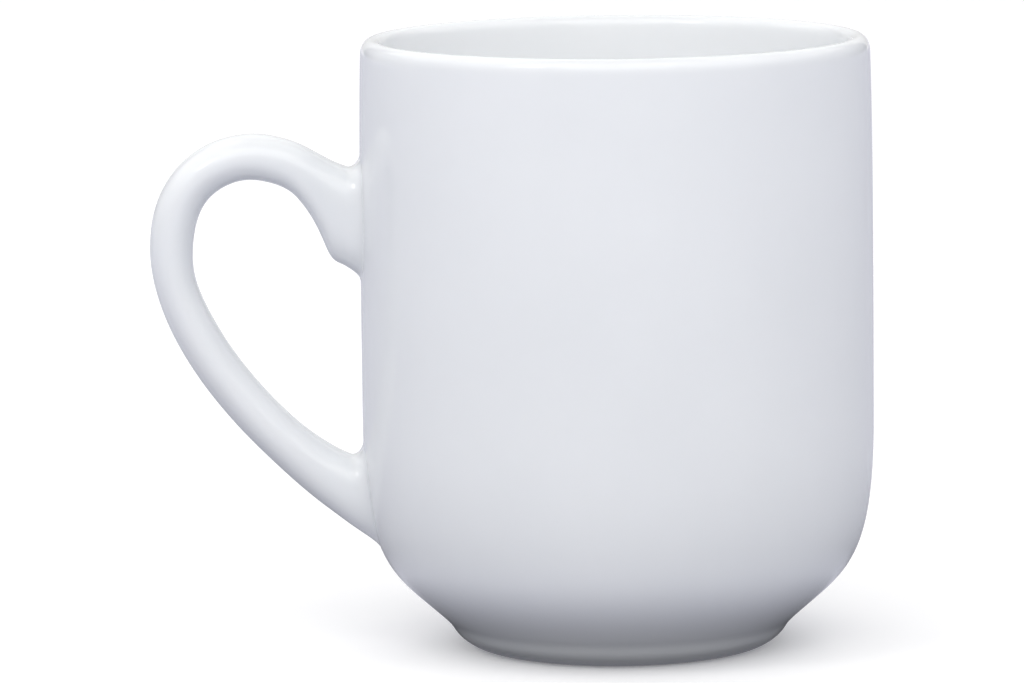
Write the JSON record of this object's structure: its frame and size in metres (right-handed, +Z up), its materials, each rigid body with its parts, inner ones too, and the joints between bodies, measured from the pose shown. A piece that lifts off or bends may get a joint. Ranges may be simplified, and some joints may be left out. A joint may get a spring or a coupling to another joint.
{
  "type": "ceramic mug",
  "caption": "Tall white glazed porcelain mug with a rounded shoulder, a narrow foot ring and an ear-shaped side handle.",
  "frame": {"origin": "on the cup's axis, in the plane of the standing edge", "axes": "+Z up along the cup's axis, out of the mouth; the handle is towards -X; +Y completes the right-handed set"},
  "size_m": [0.1199, 0.085, 0.1015],
  "materials": {
    "biscuit": "bare fired porcelain, matt",
    "slip": "bare fired porcelain slip, matt",
    "glaze": "clear gloss glaze over white porcelain"
  },
  "bodies": {
    "root": {"cup_body": "biscuit", "handle": "biscuit", "upper_slip_joint": "slip", "lower_slip_joint": "slip", "outside_glaze": "glaze", "lining_glaze": "glaze", "foot_well_glaze": "glaze", "handle_glaze": "glaze"}
  },
  "joints": []
}
